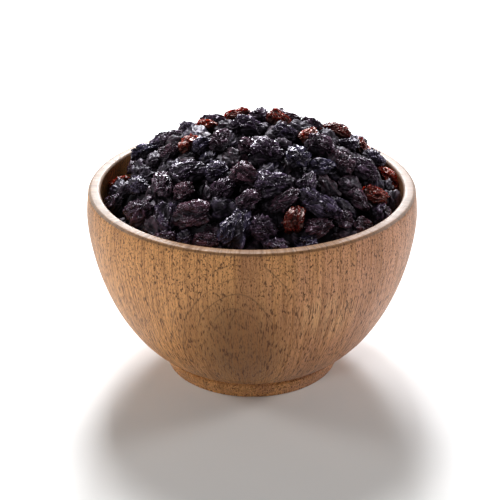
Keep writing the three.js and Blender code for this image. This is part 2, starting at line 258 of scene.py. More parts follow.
def inner_radius(height):
    """Radius of the bowl's inner wall at a height. The wall thickens towards the floor."""
    rise = np.clip((height - FLOOR_HEIGHT) / (BOWL_HEIGHT - FLOOR_HEIGHT), 0, 1)
    wall = WALL_AT_FLOOR + (WALL_AT_RIM - WALL_AT_FLOOR) * rise
    rounding = np.sqrt(1 - (1 - rise) ** FLOOR_POWER)
    return (outer_radius(np.maximum(height, FLOOR_HEIGHT)) - wall) * rounding


def mound_height(x, y):
    """Height of the mound's top raisins over a place in plan."""
    share = np.hypot(x, y) / MOUND_REACH
    return MOUND_TOP - MOUND_FALL * share**MOUND_POWER + MOUND_LEAN_RIGHT * x + MOUND_LEAN_BACK * y


def unit(vector):
    return vector / math.sqrt(vector @ vector)


def mound_normal(x, y):
    step = 0.5
    slope_x = (mound_height(x + step, y) - mound_height(x - step, y)) / (2 * step)
    slope_y = (mound_height(x, y + step) - mound_height(x, y - step)) / (2 * step)
    return unit(np.array((-slope_x, -slope_y, 1)))


VIEW_BACK = np.array((0, -math.cos(VIEW_ELEVATION), math.sin(VIEW_ELEVATION)))
VIEW_UP = np.array((0, math.sin(VIEW_ELEVATION), math.cos(VIEW_ELEVATION)))
VIEW_RIGHT = np.array((1.0, 0, 0))
VIEW_AIM = np.array((0, 0, BOWL_HEIGHT / 2))


def place_on_mound(pixel_x, pixel_y):
    """Where the line of sight through a pixel first meets the mound, or where it passes nearest to it."""
    eye = VIEW_AIM + VIEW_BACK * VIEW_DISTANCE
    across = (pixel_x - VIEW_AIM_PIXEL[0]) / VIEW_FOCAL_PIXELS
    rise = (VIEW_AIM_PIXEL[1] - pixel_y) / VIEW_FOCAL_PIXELS
    sight = unit(VIEW_RIGHT * across + VIEW_UP * rise - VIEW_BACK)
    distances = np.arange(*SIGHT_RANGE, SIGHT_STEP)
    points = eye + sight * distances[:, None]
    above = points[:, 2] - mound_height(points[:, 0], points[:, 1])
    under = np.flatnonzero(above < 0)
    return points[under[0] if len(under) else int(np.argmin(above))]


def axes_from(along, normal, tilt):
    """The three axes of a raisin: along its length, across it in the mound's face, and out of the face."""
    flat = unit(along - normal * (along @ normal))
    side = np.cross(normal, flat)
    length = flat * math.cos(tilt) + normal * math.sin(tilt)
    return np.array((length, side, np.cross(length, side)))


def make_raisin(place, sizes, axes, kind):
    return {"place": place, "half": np.array(sizes) / 2, "axes": axes, "kind": kind}


def seen_raisin(row, kind, draw):
    pixel_x, pixel_y, long, wide, turn = row
    place = place_on_mound(pixel_x, pixel_y)
    angle = math.radians(turn)
    along = VIEW_RIGHT * math.cos(angle) + VIEW_UP * math.sin(angle)
    tilt = (draw() - 0.5) * TILT_SPREAD
    thick = wide * draw_in(THICKNESS_SHARE, draw)
    axes = axes_from(along, mound_normal(place[0], place[1]), tilt)
    return make_raisin(place, (long, wide, thick), axes, kind)


def spiral_raisin(index, depth, kind, draw):
    radius = SPIRAL_RADIUS * math.sqrt((index + 0.5) / SPIRAL_TRIES)
    x = radius * math.cos(index * SPIRAL_TURN)
    y = radius * math.sin(index * SPIRAL_TURN)
    lift = (draw() - 0.5) * LIFT_SPREAD - depth
    heading = draw() * math.pi * 2
    tilt = (draw() - 0.5) * TILT_SPREAD
    long = draw_in(LENGTH_RANGE, draw)
    wide = long * draw_in(WIDTH_SHARE, draw)
    thick = wide * draw_in(THICKNESS_SHARE, draw)
    place = np.array((x, y, mound_height(x, y) + lift))
    along = np.array((math.cos(heading), math.sin(heading), 0))
    axes = axes_from(along, mound_normal(x, y), tilt)
    return make_raisin(place, (long, wide, thick), axes, kind)


def reach(raisin, direction):
    """Half the width of a raisin, measured along a direction."""
    parts = raisin["half"] * (raisin["axes"] @ direction)
    return math.sqrt(parts @ parts)


def crowding(first, second, share):
    """How much nearer two raisins lie than a share of their two reaches, and the direction between them."""
    between = second["place"] - first["place"]
    apart = math.sqrt(between @ between)
    if apart > NEIGHBOUR_RANGE:
        return 0, between
    between = between / apart
    return share * (reach(first, between) + reach(second, between)) - apart, between


def highest_seat(raisin):
    """The greatest height at which a raisin is still sunk a little into the core."""
    x, y = raisin["place"][:2]
    normal = mound_normal(x, y)
    return mound_height(x, y) - CORE_BELOW + (reach(raisin, normal) - CORE_SINK) / normal[2]


def near_pairs(raisins):
    """Pairs of raisins that lie near enough to meet in the next round."""
    places = np.array([raisin["place"] for raisin in raisins])
    apart = np.linalg.norm(places[:, None] - places[None], axis=2)
    first, second = np.nonzero(np.triu(apart < NEIGHBOUR_RANGE + NEIGHBOUR_MARGIN, 1))
    return zip(first.tolist(), second.tolist())


def let_rest(raisins):
    seats = [raisin["place"].copy() for raisin in raisins]
    for _ in range(REST_ROUNDS):
        for i, j in near_pairs(raisins):
            lack, between = crowding(raisins[i], raisins[j], REST_SHARE)
            if lack > 0:
                raisins[i]["place"] = raisins[i]["place"] - between * (lack * REST_STEP)
                raisins[j]["place"] = raisins[j]["place"] + between * (lack * REST_STEP)
        for raisin, seat in zip(raisins, seats):
            place = raisin["place"] + (seat - raisin["place"]) * HOLD_SHARE
            radius = math.hypot(place[0], place[1])
            outward = np.array((place[0] / radius, place[1] / radius, 0))
            room = inner_radius(min(place[2], BOWL_HEIGHT)) - CLEARANCE
            over = radius + reach(raisin, outward) - room
            if over > 0:
                place = place - outward * over
            raisin["place"] = place
            raisin["place"][2] = min(place[2], highest_seat(raisin))


def shows_in_front(place):
    """Whether the mound faces the front view enough to show at a place."""
    return mound_normal(place[0], place[1]) @ VIEW_BACK > SHOWN_FACING


def lay_layer(raisins, depth, share, kind, draw):
    """Lays a raisin at every try on the spiral that has room among the ones laid before."""
    for index in range(SPIRAL_TRIES):
        tried = spiral_raisin(index, depth, kind, draw)
        if depth == 0 and shows_in_front(tried["place"]):
            continue
        if all(crowding(tried, other, share)[0] <= 0 for other in raisins):
            raisins.append(tried)


def lay_raisins():
    draw = make_draw(SEED)
    raisins = [seen_raisin(row, "seen", draw) for row in DARK_SEEN]
    raisins += [seen_raisin(row, "red", draw) for row in RED_SEEN]
    for depth, share in LAYERS:
        lay_layer(raisins, depth, share, "deep" if depth else "back", draw)
    let_rest(raisins)
    lay_layer(raisins, *UNDER_LAYER, "under", draw)
    return raisins


def unit_sphere(steps):
    """Points and triangles of an even sphere of radius 1: an icosahedron with each edge cut into steps."""
    ball = bmesh.new()
    bmesh.ops.create_icosphere(ball, subdivisions=1, radius=1)
    corners = [np.array([vertex.co[:] for vertex in face.verts]) for face in ball.faces]
    ball.free()
    grid = [(i, j) for i in range(steps + 1) for j in range(steps + 1 - i)]
    spot = {place: number for number, place in enumerate(grid)}
    shares = np.array([(steps - i - j, i, j) for i, j in grid]) / steps
    patch = [(spot[i, j], spot[i + 1, j], spot[i, j + 1]) for i, j in grid if i + j < steps]
    patch += [(spot[i + 1, j], spot[i + 1, j + 1], spot[i, j + 1]) for i, j in grid if i + j < steps - 1]
    points = np.concatenate([shares @ corner for corner in corners])
    faces = np.concatenate([np.array(patch) + number * len(grid) for number in range(len(corners))])
    rounded = np.round(points, SPHERE_DIGITS)
    _, first, merged = np.unique(rounded, axis=0, return_index=True, return_inverse=True)
    points = points[first]
    points /= np.linalg.norm(points, axis=1)[:, None]
    return points, merged.reshape(-1)[faces]


def cell_edges(points, count, stretch, rng):
    """How far each point lies from the nearest edge between cells: 0 on the edge."""
    centres = rng.normal(size=(count, 3))
    centres /= np.linalg.norm(centres, axis=1)[:, None]
    offsets = (points[:, None] - centres[None]) * np.array((stretch, 1, 1))
    nearest = np.partition(np.linalg.norm(offsets, axis=2), 1, axis=1)
    return nearest[:, 1] - nearest[:, 0]


def warped(points, rng):
    """Points pushed about by slow waves, so that the cells' edges wander."""
    phases = rng.uniform(0, 2 * math.pi, size=(len(WARP_WAVES), 3))
    waves = np.zeros(points.shape)
    for turn, (pace, share) in enumerate(WARP_WAVES, 1):
        waves += share * np.sin(pace * np.roll(points, turn, axis=1) + phases[turn - 1])
    return points + WARP * waves


def dented(points, form, rng):
    """How deep each point lies in dents between ridges: 0 on a ridge, and 1 on the floor of a dent."""
    share = np.clip(cell_edges(points, form["cells"], form["stretch"], rng) / form["width"], 0, 1)
    return share * share * (3 - 2 * share)


def raisin_skin(raisin, index, sphere):
    """One wrinkled raisin's points, each with how deep it lies in a fold or in painted shade, how much
    painted bloom and highlight its crest takes, and where in the skin.
    """
    rng = np.random.default_rng(SEED + index)
    draw = make_draw(SEED + SEED_STEP * (index + 1))
    taper = (draw() - 0.5) * TAPER_SPREAD
    bend = (draw() - 0.5) * BEND_SPREAD
    bent = warped(sphere, rng)
    folds = 1 - dented(bent, FOLD, rng)
    dents = dented(bent, DENT, rng)
    dimples = dented(bent, DIMPLE, rng)
    lumps = np.zeros(len(sphere))
    for pace, share in LUMPS:
        lumps += share * np.sin(pace * sphere @ rng.normal(size=3) + rng.uniform(0, 2 * math.pi))
    sunk = FOLD["depth"] * folds + DENT["depth"] * dents + DIMPLE["depth"] * dimples
    radius = SWELL + LUMP_DEPTH * lumps - sunk
    along = sphere[:, 0]
    girth = np.maximum(1 - along * along, TINY) ** ((RAISIN_BLUNT - 1) / 2) * (1 + taper * along)
    half_long, half_wide, half_thick = raisin["half"]
    local = np.stack(
        (
            half_long * along * (STEADY_LENGTH + (1 - STEADY_LENGTH) * radius),
            half_wide * (sphere[:, 1] * girth * radius + bend * (2 * along * along - 1)),
            half_thick * sphere[:, 2] * girth * radius,
        ),
        axis=1,
    )
    places = local @ raisin["axes"] + raisin["place"]
    spread = np.hypot(places[:, 0], places[:, 1])
    room = inner_radius(np.minimum(places[:, 2], BOWL_HEIGHT)) - CLEARANCE
    places[:, :2] *= np.minimum(1, room / np.maximum(spread, TINY))[:, None]
    facing = sphere @ (raisin["axes"] @ mound_normal(*raisin["place"][:2]))
    # Painted shade: the side that faces into the heap, and more of each deeper raisin, is painted black.
    painted_lit = np.clip((facing - PAINTED_LIT_FROM) / PAINTED_LIT_RANGE, 0, 1) * PAINTED_LIT_SHARE[raisin["kind"]]
    fold_depth_and_shade = 1 - painted_lit * (1 - sunk / (FOLD["depth"] + DENT["depth"] + DIMPLE["depth"]))
    # Painted highlight: the crests on the side painted as lit take the pale ridge colour.
    crest_bloom_and_highlight = painted_lit * np.maximum(1 - dents, 1 - dimples) ** CREST_POWER * (1 - folds)
    skin = local * np.array(PATTERN_STRETCH) + rng.uniform(-PATTERN_SCATTER, PATTERN_SCATTER, size=3)
    return places, {"fold_depth_and_shade": fold_depth_and_shade, "crest_bloom_and_highlight": crest_bloom_and_highlight, "skin": skin}


def make_mesh(name, points, faces, material, attributes=None):
    """A smooth-shaded object at the origin, from points in millimetres."""
    mesh = bpy.data.meshes.new(name)
    mesh.from_pydata((points * MM).tolist(), [], faces.tolist())
    for key, values in (attributes or {}).items():
        kind, field = ("FLOAT_VECTOR", "vector") if values.ndim > 1 else ("FLOAT", "value")
        mesh.attributes.new(key, kind, "POINT").data.foreach_set(field, values.astype(np.float32).ravel())
    mesh.polygons.foreach_set("use_smooth", np.ones(len(mesh.polygons), dtype=bool))
    mesh.materials.append(material)
    mesh.update()
    piece = bpy.data.objects.new(name, mesh)
    bpy.context.scene.collection.objects.link(piece)
    return piece


def dress(piece, node):
    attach(piece, "root")
    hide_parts(node)


def raisin_piece(name, members, spheres, material):
    """One piece of several raisins, each with a tone of its own."""
    points, faces, marks = [], [], []
    start = 0
    for index, raisin in members:
        sphere, triangles = spheres[raisin["kind"]]
        places, mark = raisin_skin(raisin, index, sphere)
        mark["tone"] = np.full(len(places), (index * GOLDEN_SHARE) % 1)
        points.append(places)
        faces.append(triangles + start)
        marks.append(mark)
        start += len(places)
    attributes = {key: np.concatenate([mark[key] for mark in marks]) for key in marks[0]}
    return make_mesh(name, np.concatenate(points), np.concatenate(faces), material, attributes)


def revolve(outline, sides):
    """Points and faces of an outline of (radius, height) turned about the Z axis, with closed ends."""
    angles = np.arange(sides) * (2 * math.pi / sides)
    turned = np.stack((np.cos(angles), np.sin(angles)), axis=1)
    rings = [np.column_stack((r * turned, np.full(sides, h))) for r, h in outline]
    ends = np.array(((0, 0, outline[0][1]), (0, 0, outline[-1][1])))
    points = np.concatenate(rings + [ends])
    first = len(points) - 2
    side = np.arange(sides)
    following = (side + 1) % sides
    faces = []
    for ring in range(len(outline) - 1):
        low, high = ring * sides, (ring + 1) * sides
        faces += np.stack((low + side, low + following, high + following, high + side), axis=1).tolist()
    last_ring = (len(outline) - 1) * sides
    faces += np.stack((np.full(sides, first), following, side), axis=1).tolist()
    faces += np.stack((np.full(sides, first + 1), last_ring + side, last_ring + following), axis=1).tolist()
    return points, faces


def corner(centre_radius, centre_height, radius, start, end):
    """Points of a round between two directions, in degrees."""
    angles = np.radians(np.linspace(start, end, CORNER_STEPS + 1))
    return [(centre_radius + radius * math.cos(a), centre_height + radius * math.sin(a)) for a in angles]


def bowl_outline():
    """The bowl's section, from the middle of its underside round to the middle of its floor."""
    wall_foot = FOOT_HEIGHT + GROOVE_HEIGHT
    rim_outer = float(outer_radius(BOWL_HEIGHT))
    rim_inner = float(inner_radius(BOWL_HEIGHT))
    floor_edge = FLOOR_HEIGHT + FLOOR_EDGE_RISE
    outline = [(RECESS_RADIUS / 2, RECESS_DEPTH), (RECESS_RADIUS, RECESS_DEPTH)]
    outline.append((RECESS_RADIUS + RECESS_DEPTH, 0))
    outline.append((FOOT_RADIUS - 2 * FOOT_ROUND, 0))
    outline += corner(FOOT_RADIUS - FOOT_ROUND, FOOT_ROUND, FOOT_ROUND, -90, 0)
    outline.append(((FOOT_RADIUS + FOOT_TOP_RADIUS) / 2, FOOT_HEIGHT / 2))
    outline += corner(FOOT_TOP_RADIUS - FOOT_ROUND / 2, FOOT_HEIGHT - FOOT_ROUND / 2, FOOT_ROUND / 2, 0, 90)
    outline.append((FOOT_TOP_RADIUS - GROOVE_DEPTH, FOOT_HEIGHT + GROOVE_HEIGHT / 2))
    for height in np.linspace(wall_foot, BOWL_HEIGHT - RIM_ROUND, WALL_STEPS):
        outline.append((float(outer_radius(height)), height))
    outline += corner(rim_outer - RIM_ROUND, BOWL_HEIGHT - RIM_ROUND, RIM_ROUND, RIM_TURN, 90)
    outline += corner(rim_inner + RIM_ROUND, BOWL_HEIGHT - RIM_ROUND, RIM_ROUND, 90, 180 - RIM_TURN)
    for height in np.linspace(BOWL_HEIGHT - 2 * RIM_ROUND, floor_edge, WALL_STEPS):
        outline.append((float(inner_radius(height)), height))
    outline.append((float(inner_radius(floor_edge)) / 2, FLOOR_HEIGHT))
    return outline


class Shader:
    """A material's node tree, built a node at a time."""

    def __init__(self, name):
        self.material = bpy.data.materials.new(name)
        self.material.use_nodes = True
        self.tree = self.material.node_tree
        self.tree.nodes.clear()

    def add(self, kind, inputs=None, **settings):
        """Adds a node. An input is a value, or the output socket of another node."""
        node = self.tree.nodes.new(kind)
        for key, value in settings.items():
            setattr(node, key, value)
        for key, value in (inputs or {}).items():
            if isinstance(value, bpy.types.NodeSocket):
                self.tree.links.new(value, node.inputs[key])
            else:
                node.inputs[key].default_value = value
        return node

    def math(self, operation, first, second=0.0, third=0.0):
        node = self.add("ShaderNodeMath", {0: first, 1: second, 2: third}, operation=operation)
        return node.outputs[0]

    def remap(self, value, low, high, new_low=0.0, new_high=1.0):
        """Carries a value smoothly from one range to another."""
        inputs = {"Value": value, "From Min": low, "From Max": high, "To Min": new_low, "To Max": new_high}
        node = self.add("ShaderNodeMapRange", inputs, interpolation_type="SMOOTHSTEP")
        return node.outputs["Result"]

    def mix(self, share, first, second, blend="MIX"):
        node = self.add("ShaderNodeMix", {0: share, 6: first, 7: second}, data_type="RGBA", blend_type=blend)
        return node.outputs[2]

    def noise(self, vector, scale, detail=2.0, roughness=0.5):
        inputs = {"Vector": vector, "Scale": scale, "Detail": detail, "Roughness": roughness}
        return self.add("ShaderNodeTexNoise", inputs).outputs[0]

    def swirl(self, vector, scale):
        """Three noises at once, one for each axis."""
        inputs = {"Vector": vector, "Scale": scale, "Detail": 2.0}
        return self.add("ShaderNodeTexNoise", inputs).outputs["Color"]

    def vector(self, operation, first, second=(0, 0, 0)):
        node = self.add("ShaderNodeVectorMath", {0: first, 1: second}, operation=operation)
        return node.outputs["Value" if operation == "LENGTH" else "Vector"]

    def layer(self, ground, share, cover, strength):
        """Lays one colour over another where share is 1, as strongly as said."""
        return self.mix(self.math("MULTIPLY", share, strength), ground, cover)

    def finish(self, inputs, height, strength, distance):
        """Adds the bump and the surface, and returns the material."""
        bump_inputs = {"Height": height, "Strength": strength, "Distance": distance}
        bump = self.add("ShaderNodeBump", bump_inputs)
        surface = self.add("ShaderNodeBsdfPrincipled", {**inputs, "Normal": bump.outputs["Normal"]})
        output = self.add("ShaderNodeOutputMaterial")
        self.tree.links.new(surface.outputs["BSDF"], output.inputs["Surface"])
        return self.material


def color(red, green, blue):
    return (red, green, blue, 1)


# The wood: pores and streaks follow the bowl's meridians, and growth rings lie round a pith
# that meets the front wall low down, a little left of its middle.
PITH = (-4.5, 0, 33)
RING_SPACING = 6
RING_SHAPE = (1.6, 0, 1)
RING_DRIFT = (8, 0, 8)
RING_FADE = (46, 34)
# The heartwood round the pith is darker, and this darkening also stands in as painted shade on the lower
# middle of the wall.
HEART_AND_SHADE_RANGE = (38, 8)
HEART_AND_SHADE_SHARE = 0.85
STRAW_PATCH = (25, 0, 43)
STRAW_RANGE = (13, 6)
STRAW_TAN = color(0.75, 0.43, 0.2)
PORE_SCALE = (1.7, 0.34)
PORE_RANGE = (0.57, 0.65)
FINE_PORE_SCALE = (3.0, 0.5)
FINE_PORE_RANGE = (0.5, 0.68)
STREAK_SCALE = (1.5, 0.05)
BAND_SCALE = (0.11, 0.02)
DOTS_FROM = 46
DOTS_GROWTH = 0.016
TAN_LIGHT = color(0.7, 0.34, 0.12)
TAN_DEEP = color(0.31, 0.13, 0.043)
PINK_TAN = color(0.6, 0.29, 0.16)
HEART_BROWN = color(0.16, 0.08, 0.033)
PORE_BROWN = color(0.075, 0.026, 0.009)
# The rim's top: painted shade in a darker tan at its front and back, and a painted reflection in pale grey at
# its sides.
RIM_SHADED_TAN = color(0.13, 0.06, 0.02)
RIM_REFLECTION_PALE = color(0.23, 0.2, 0.18)
RIM_REFLECTION_RANGE = (0.55, 0.95)

# Where each marking of the wood shows in its noise, and how strongly. The wood is pinker towards its right.
PINK_PER_MM = 0.011
PINK_RANGE = (0.35, 0.95)
STRAW_STREAK_RANGE = (0.6, 0.4)
STRAW_SHARE = 0.6
STREAK_RANGE = (0.42, 0.66)
STREAK_SHARE = 0.75
BAND_RANGE = (0.45, 0.65)
BAND_SHARE = 0.4
RING_DRIFT_SCALE = 0.035
RING_LINE = (0.84, 0.97)
RING_BREAK_SCALE = 0.07
RING_BREAK_RANGE = (0.4, 0.6)
RING_SHARE = 0.75
PORE_SHARE = 0.85
FINE_PORE_SHARE = 0.5
PAINTED_RIM_SHARE = 0.75
NOISE_ROUGHNESS = 0.6
WOOD_SPECULAR = 0.3
WOOD_ROUGHNESS = (0.42, 0.56)
ROUGHNESS_STREAK_RANGE = (0.3, 0.8)
STREAK_RELIEF = 0.3
WOOD_RELIEF = 0.4
PORE_DEPTH = 0.15


def meridian_place(shader, place):
    """Places in millimetres along the bowl's round and up its wall. Under the groove they stay plain."""
    height = shader.add("ShaderNodeSeparateXYZ", {0: place}).outputs[2]
    flat = shader.vector("MULTIPLY", place, (1, 1, 0))
    wall = shader.vector("MULTIPLY", shader.vector("NORMALIZE", flat), (WIDEST_RADIUS,) * 3)
    above = shader.math("GREATER_THAN", height, FOOT_HEIGHT + GROOVE_HEIGHT / 2)
    round_place = shader.add("ShaderNodeMix", {0: above, 4: flat, 5: wall}, data_type="VECTOR")
    return round_place.outputs[1], height


def grain_noise(shader, round_place, height, scale, detail=2.0, dots=0.0):
    """Noise drawn out along the grain. Near the rim the marks shorten to dots."""
    across, along = scale
    wide = shader.vector("MULTIPLY", round_place, (across, across, 0))
    near_rim = shader.math("MAXIMUM", shader.math("SUBTRACT", height, DOTS_FROM), 0.0)
    growth = shader.math("MULTIPLY", shader.math("MULTIPLY", near_rim, near_rim), dots)
    rise = shader.math("ADD", shader.math("MULTIPLY", height, along), growth)
    up = shader.add("ShaderNodeCombineXYZ", {0: 0.0, 1: 0.0, 2: rise}).outputs[0]
    return shader.noise(shader.vector("ADD", wide, up), 1.0, detail, NOISE_ROUGHNESS)


def growth_rings(shader, place):
    """How far each place lies from the pith, wandering a little, and the dark lines of the rings."""
    drift = shader.vector("SUBTRACT", shader.swirl(place, RING_DRIFT_SCALE), (0.5, 0.5, 0.5))
    drift = shader.vector("MULTIPLY", drift, RING_DRIFT)
    from_pith = shader.vector("ADD", shader.vector("SUBTRACT", place, PITH), drift)
    distance = shader.vector("LENGTH", shader.vector("MULTIPLY", from_pith, RING_SHAPE))
    phase = shader.math("FRACT", shader.math("MULTIPLY", distance, 1 / RING_SPACING))
    lines = shader.math("MULTIPLY", shader.remap(phase, *RING_LINE), shader.remap(phase, 1.0, RING_LINE[1]))
    unbroken = shader.remap(shader.noise(place, RING_BREAK_SCALE), *RING_BREAK_RANGE)
    lines = shader.math("MULTIPLY", lines, unbroken)
    return distance, shader.math("MULTIPLY", lines, shader.remap(distance, *RING_FADE))


def wood_material():
    shader = Shader("turned_wood")
    metres = shader.add("ShaderNodeTexCoord").outputs["Object"]
    place = shader.vector("MULTIPLY", metres, (1 / MM,) * 3)
    round_place, height = meridian_place(shader, place)
    ring_distance, ring_lines = growth_rings(shader, place)

    pores = grain_noise(shader, round_place, height, PORE_SCALE, 1.0, DOTS_GROWTH)
    pores = shader.remap(pores, *PORE_RANGE)
    fine_pores = grain_noise(shader, round_place, height, FINE_PORE_SCALE, 1.0, DOTS_GROWTH)
    fine_pores = shader.remap(fine_pores, *FINE_PORE_RANGE)
    streaks = grain_noise(shader, round_place, height, STREAK_SCALE, 4.0)
    bands = grain_noise(shader, round_place, height, BAND_SCALE, 3.0)

    side = shader.add("ShaderNodeSeparateXYZ", {0: place}).outputs[0]
    pinkness = shader.math("ADD", shader.math("MULTIPLY", side, PINK_PER_MM), bands)
    ground = shader.mix(shader.remap(pinkness, *PINK_RANGE), TAN_LIGHT, PINK_TAN)
    # Darker heartwood round the pith, partly painted shade on the lower middle of the wall.
    ground = shader.layer(ground, shader.remap(ring_distance, *HEART_AND_SHADE_RANGE), HEART_BROWN, HEART_AND_SHADE_SHARE)
    from_patch = shader.vector("MULTIPLY", shader.vector("SUBTRACT", place, STRAW_PATCH), (1, 0, 1))
    in_patch = shader.remap(shader.vector("LENGTH", from_patch), *STRAW_RANGE)
    straw = shader.math("MULTIPLY", in_patch, shader.remap(streaks, *STRAW_STREAK_RANGE))
    ground = shader.layer(ground, straw, STRAW_TAN, STRAW_SHARE)
    ground = shader.layer(ground, shader.remap(streaks, *STREAK_RANGE), TAN_DEEP, STREAK_SHARE)
    ground = shader.layer(ground, shader.remap(bands, *BAND_RANGE), TAN_DEEP, BAND_SHARE)
    ground = shader.layer(ground, ring_lines, HEART_BROWN, RING_SHARE)
    ground = shader.layer(ground, fine_pores, PORE_BROWN, FINE_PORE_SHARE)
    ground = shader.layer(ground, pores, PORE_BROWN, PORE_SHARE)
    # The rim's top is painted: a darker tan as painted shade against the light from above, and pale grey at
    # its left and right as a painted reflection.
    sideways = shader.math("MULTIPLY", shader.math("ABSOLUTE", side), 1 / WIDEST_RADIUS)
    painted_rim = shader.mix(shader.remap(sideways, *RIM_REFLECTION_RANGE), RIM_SHADED_TAN, RIM_REFLECTION_PALE)
    on_painted_rim = shader.remap(height, BOWL_HEIGHT - RIM_ROUND, BOWL_HEIGHT - RIM_ROUND / 2, 0.0, PAINTED_RIM_SHARE)
    ground = shader.mix(on_painted_rim, ground, painted_rim)

    roughness = shader.remap(streaks, *ROUGHNESS_STREAK_RANGE, *WOOD_ROUGHNESS)
    depth = shader.math("MULTIPLY", shader.math("MAXIMUM", pores, fine_pores), -1.0)
    relief = shader.math("ADD", depth, shader.math("MULTIPLY", streaks, STREAK_RELIEF))
    inputs = {"Base Color": ground, "Roughness": roughness, "Specular IOR Level": WOOD_SPECULAR}
    return shader.finish(inputs, relief, WOOD_RELIEF, PORE_DEPTH * MM)


# The skin's colours: painted shade on the floor of a fold, between the ridges, on the ridges a pale bloom
# that is partly painted highlight, and of its glints.
# The ground and the ridges each have a pair, from the coolest raisin to the warmest.
DARK_SKIN = {
    "pit_shade": color(0.0008, 0.0005, 0.001),
    "ground": (color(0.0015, 0.001, 0.0045), color(0.01, 0.0012, 0.0025)),
    "ridge_bloom_and_highlight": (color(0.075, 0.066, 0.13), color(0.125, 0.054, 0.075)),
    "glint": color(0.9, 0.78, 1.0),
}
RED_SKIN = {
    "pit_shade": color(0.006, 0.001, 0.0008),
    "ground": (color(0.025, 0.0015, 0.0015), color(0.08, 0.004, 0.002)),
    "ridge_bloom_and_highlight": (color(0.1, 0.012, 0.011), color(0.22, 0.03, 0.014)),
    "glint": color(1.0, 0.62, 0.58),
}
RED_GLOW = {
    "Subsurface Weight": 0.3,
    "Subsurface Scale": 2.5 * MM,
    "Subsurface Radius": (1, 0.25, 0.08),
}
SKIN_SPECULAR = 0.42
SKIN_ROUGHNESS = 0.16
PIT_ROUGHNESS = 0.5
SKIN_RELIEF = 0.22
NET_SCALE = 0.7
NET_WIDTH = 0.18
NET_DRIFT = 1.5
NET_SHARE = 0.7
GRIT_SCALE = 2.2
GRIT_DULLNESS = 0.15
GRIT_RELIEF = 0.15
RIDGE_GLOSS = -0.1
BREAK_SCALE = 0.55
BREAK_RANGE = (0.38, 0.6)

# The depths in the skin, from 0 on a crest to 1 in a pit or in painted shade, over which the net fades, the
# ground turns to painted black shade and the gloss goes.
NET_DEPTHS = (0.8, 0.3)
PIT_SHADE_DEPTHS = (0.35, 0.75)
DULL_DEPTHS = (0.3, 0.8)


def skin_net(shader, skin):
    """1 on the crisp lines of an uneven net, and 0 between them."""
    push = shader.vector("MULTIPLY", shader.swirl(skin, NET_SCALE / 2), (NET_DRIFT / NET_SCALE,) * 3)
    inputs = {"Vector": shader.vector("ADD", skin, push), "Scale": NET_SCALE}
    cells = shader.add("ShaderNodeTexVoronoi", inputs, feature="DISTANCE_TO_EDGE")
    return shader.remap(cells.outputs["Distance"], NET_WIDTH * NET_SCALE, 0.0)


def raisin_material(name, colors, glow):
    """Wrinkled skin: painted black shade in the folds, and paler and glossier on the ridges, a bloom that is
    partly painted highlight. Each raisin has its own tone.
    """
    shader = Shader(name)
    skin = shader.add("ShaderNodeAttribute", attribute_name="skin").outputs["Vector"]
    fold_depth_and_shade = shader.add("ShaderNodeAttribute", attribute_name="fold_depth_and_shade").outputs["Fac"]
    crest_bloom_and_highlight = shader.add("ShaderNodeAttribute", attribute_name="crest_bloom_and_highlight").outputs["Fac"]
    tone = shader.add("ShaderNodeAttribute", attribute_name="tone").outputs["Fac"]
    grit = shader.noise(skin, GRIT_SCALE, 3.0, NOISE_ROUGHNESS)
    broken = shader.remap(shader.noise(skin, BREAK_SCALE, 2.0), *BREAK_RANGE)
    net = shader.math("MULTIPLY", skin_net(shader, skin), NET_SHARE)
    net = shader.math("MULTIPLY", net, shader.remap(fold_depth_and_shade, *NET_DEPTHS))
    # Painted highlight: the crests and the net's lines take the pale ridge colour, a bloom that partly stands
    # in for glints.
    bloom_and_highlight_lines = shader.math("MULTIPLY", shader.math("MAXIMUM", net, crest_bloom_and_highlight), broken)
    ridge_bloom_and_highlight = shader.mix(tone, *colors["ridge_bloom_and_highlight"])
    ground = shader.mix(tone, *colors["ground"])
    # Painted shade: the folds and the shaded side of each raisin turn to the pit's black.
    ground = shader.mix(shader.remap(fold_depth_and_shade, *PIT_SHADE_DEPTHS), ground, colors["pit_shade"])
    ground = shader.mix(bloom_and_highlight_lines, ground, ridge_bloom_and_highlight)
    dullness = shader.math("MULTIPLY", grit, GRIT_DULLNESS)
    gloss = shader.math("ADD", shader.math("MULTIPLY", bloom_and_highlight_lines, RIDGE_GLOSS), dullness)
    plain = shader.remap(fold_depth_and_shade, *DULL_DEPTHS, SKIN_ROUGHNESS, PIT_ROUGHNESS)
    roughness = shader.math("ADD", gloss, plain)
    relief = shader.math("ADD", net, shader.math("MULTIPLY", grit, GRIT_RELIEF))
    sheen = {"Specular IOR Level": SKIN_SPECULAR, "Specular Tint": colors["glint"]}
    inputs = {"Base Color": ground, "Roughness": roughness, **sheen, **glow}
    return shader.finish(inputs, relief, 1.0, SKIN_RELIEF * MM)


def core_surface():
    """The heap's hidden middle: a plain form whose top follows the mound and whose side follows the wall."""

    def side_radius(height):
        return float(inner_radius(height)) - CLEARANCE - FILL_GAP

    radii = np.linspace(FILL_GAP, side_radius(FILL_EDGE_HEIGHT), FILL_TOP_RINGS)
    outline = [(r, 0.0) for r in radii]
    side_heights = np.linspace(FILL_EDGE_HEIGHT, FILL_FLOOR_HEIGHT, FILL_SIDE_RINGS)
    outline += [(side_radius(h), h) for h in side_heights]
    points, faces = revolve(outline, FILL_SIDES)
    top = np.concatenate((np.arange(FILL_TOP_RINGS * FILL_SIDES), (len(points) - 2,)))
    x, y = points[top, 0], points[top, 1]
    points[top, 2] = mound_height(x, y) - UNDER_LAYER[0] - FILL_DROP
    return points, [face[::-1] for face in faces]


